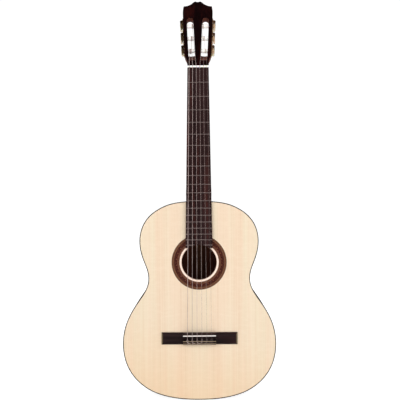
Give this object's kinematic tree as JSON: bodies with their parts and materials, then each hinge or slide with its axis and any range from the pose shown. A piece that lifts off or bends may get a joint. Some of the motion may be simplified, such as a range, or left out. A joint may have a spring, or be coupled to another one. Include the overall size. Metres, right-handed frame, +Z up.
{
  "type": "classical guitar",
  "caption": "Nylon-string classical guitar with an hourglass body, round soundhole with mosaic rosette, flat fretted neck, slotted head with geared tuners and a tie-block bridge.",
  "frame": {"origin": "under the middle of the bounding box, level with the tail of the body", "axes": "+Z up along the strings towards the head, -Y out of the soundboard, +X towards the treble strings"},
  "size_m": [0.3751, 0.1166, 0.9916],
  "materials": {
    "spruce": "clear gloss lacquer",
    "brace_spruce": "raw",
    "rosewood": "oiled satin",
    "body_rosewood": "gloss lacquer",
    "mahogany": "satin lacquer",
    "binding": "gloss lacquer",
    "rosette_wood": "gloss lacquer",
    "mosaic": "gloss lacquer",
    "bone": "polished",
    "fret_wire": "polished nickel silver",
    "gold_plate": "polished gold plate",
    "pearloid": "pearly gloss",
    "roller_white": "gloss",
    "nylon": "clear nylon",
    "wound": "silver-plated winding"
  },
  "bodies": {
    "guitar": {"back_binding": "binding", "back_braces": "brace_spruce", "back_centre_strip": "brace_spruce", "back_linings": "mahogany", "back_plate": "body_rosewood", "bass_side": "body_rosewood", "bridge": "rosewood", "bridge_patch": "rosewood", "end_graft": "binding", "fan_braces": "brace_spruce", "fingerboard": "rosewood", "frets": "fret_wire", "front_binding": "binding", "front_linings": "mahogany", "harmonic_bars": "brace_spruce", "headstock_veneer": "rosewood", "heel_cap": "binding", "neck": "mahogany", "neck_block": "mahogany", "nut": "bone", "rosette_mosaic": "mosaic", "rosette_rings": "rosette_wood", "saddle": "bone", "soundboard": "spruce", "string_1_high_e": "nylon", "string_2_b": "nylon", "string_3_g": "nylon", "string_4_d": "wound", "string_5_a": "wound", "string_6_low_e": "wound", "tail_block": "mahogany", "tie_block_trim": "bone", "treble_side": "body_rosewood", "tuner_plate_bass": "gold_plate", "tuner_plate_screws": "gold_plate", "tuner_plate_treble": "gold_plate"},
    "knob_1": {"tuner_worm_1": "gold_plate", "tuner_button_1": "pearloid"},
    "roller_1": {"tuner_roller_1": "roller_white", "tuner_gear_1": "gold_plate"},
    "knob_2": {"tuner_worm_2": "gold_plate", "tuner_button_2": "pearloid"},
    "roller_2": {"tuner_roller_2": "roller_white", "tuner_gear_2": "gold_plate"},
    "knob_3": {"tuner_worm_3": "gold_plate", "tuner_button_3": "pearloid"},
    "roller_3": {"tuner_roller_3": "roller_white", "tuner_gear_3": "gold_plate"},
    "knob_4": {"tuner_worm_4": "gold_plate", "tuner_button_4": "pearloid"},
    "roller_4": {"tuner_roller_4": "roller_white", "tuner_gear_4": "gold_plate"},
    "knob_5": {"tuner_worm_5": "gold_plate", "tuner_button_5": "pearloid"},
    "roller_5": {"tuner_roller_5": "roller_white", "tuner_gear_5": "gold_plate"},
    "knob_6": {"tuner_worm_6": "gold_plate", "tuner_button_6": "pearloid"},
    "roller_6": {"tuner_roller_6": "roller_white", "tuner_gear_6": "gold_plate"}
  },
  "joints": [
    {"name": "tuner_knob_1", "type": "hinge", "parent": "guitar", "child": "knob_1", "pos_m": [0.0384, -0.02135, 0.86709], "axis": [0, -0.9659, 0.2588], "continuous": true},
    {"name": "roller_turn_1", "type": "hinge", "parent": "guitar", "child": "roller_1", "pos_m": [0.03306, -0.0238, 0.85795], "axis": [0.999, -0.0118, -0.0442], "continuous": true},
    {"name": "tuner_knob_2", "type": "hinge", "parent": "guitar", "child": "knob_2", "pos_m": [0.04, -0.01229, 0.9009], "axis": [0, -0.9659, 0.2588], "continuous": true},
    {"name": "roller_turn_2", "type": "hinge", "parent": "guitar", "child": "roller_2", "pos_m": [0.03466, -0.01474, 0.89176], "axis": [0.999, -0.0118, -0.0442], "continuous": true},
    {"name": "tuner_knob_3", "type": "hinge", "parent": "guitar", "child": "knob_3", "pos_m": [0.0416, -0.00323, 0.93471], "axis": [0, -0.9659, 0.2588], "continuous": true},
    {"name": "roller_turn_3", "type": "hinge", "parent": "guitar", "child": "roller_3", "pos_m": [0.03626, -0.00568, 0.92557], "axis": [0.999, -0.0118, -0.0442], "continuous": true},
    {"name": "tuner_knob_4", "type": "hinge", "parent": "guitar", "child": "knob_4", "pos_m": [-0.0416, -0.00323, 0.93471], "axis": [0, -0.9659, 0.2588], "continuous": true},
    {"name": "roller_turn_4", "type": "hinge", "parent": "guitar", "child": "roller_4", "pos_m": [-0.03626, -0.00568, 0.92557], "axis": [0.999, 0.0118, 0.0442], "continuous": true},
    {"name": "tuner_knob_5", "type": "hinge", "parent": "guitar", "child": "knob_5", "pos_m": [-0.04, -0.01229, 0.9009], "axis": [0, -0.9659, 0.2588], "continuous": true},
    {"name": "roller_turn_5", "type": "hinge", "parent": "guitar", "child": "roller_5", "pos_m": [-0.03466, -0.01474, 0.89176], "axis": [0.999, 0.0118, 0.0442], "continuous": true},
    {"name": "tuner_knob_6", "type": "hinge", "parent": "guitar", "child": "knob_6", "pos_m": [-0.0384, -0.02135, 0.86709], "axis": [0, -0.9659, 0.2588], "continuous": true},
    {"name": "roller_turn_6", "type": "hinge", "parent": "guitar", "child": "roller_6", "pos_m": [-0.03306, -0.0238, 0.85795], "axis": [0.999, 0.0118, 0.0442], "continuous": true}
  ],
  "couplings": [
    {"joint": "roller_turn_1", "follows": "tuner_knob_1", "ratio": -0.071429},
    {"joint": "roller_turn_2", "follows": "tuner_knob_2", "ratio": -0.071429},
    {"joint": "roller_turn_3", "follows": "tuner_knob_3", "ratio": -0.071429},
    {"joint": "roller_turn_4", "follows": "tuner_knob_4", "ratio": -0.071429},
    {"joint": "roller_turn_5", "follows": "tuner_knob_5", "ratio": -0.071429},
    {"joint": "roller_turn_6", "follows": "tuner_knob_6", "ratio": -0.071429}
  ]
}
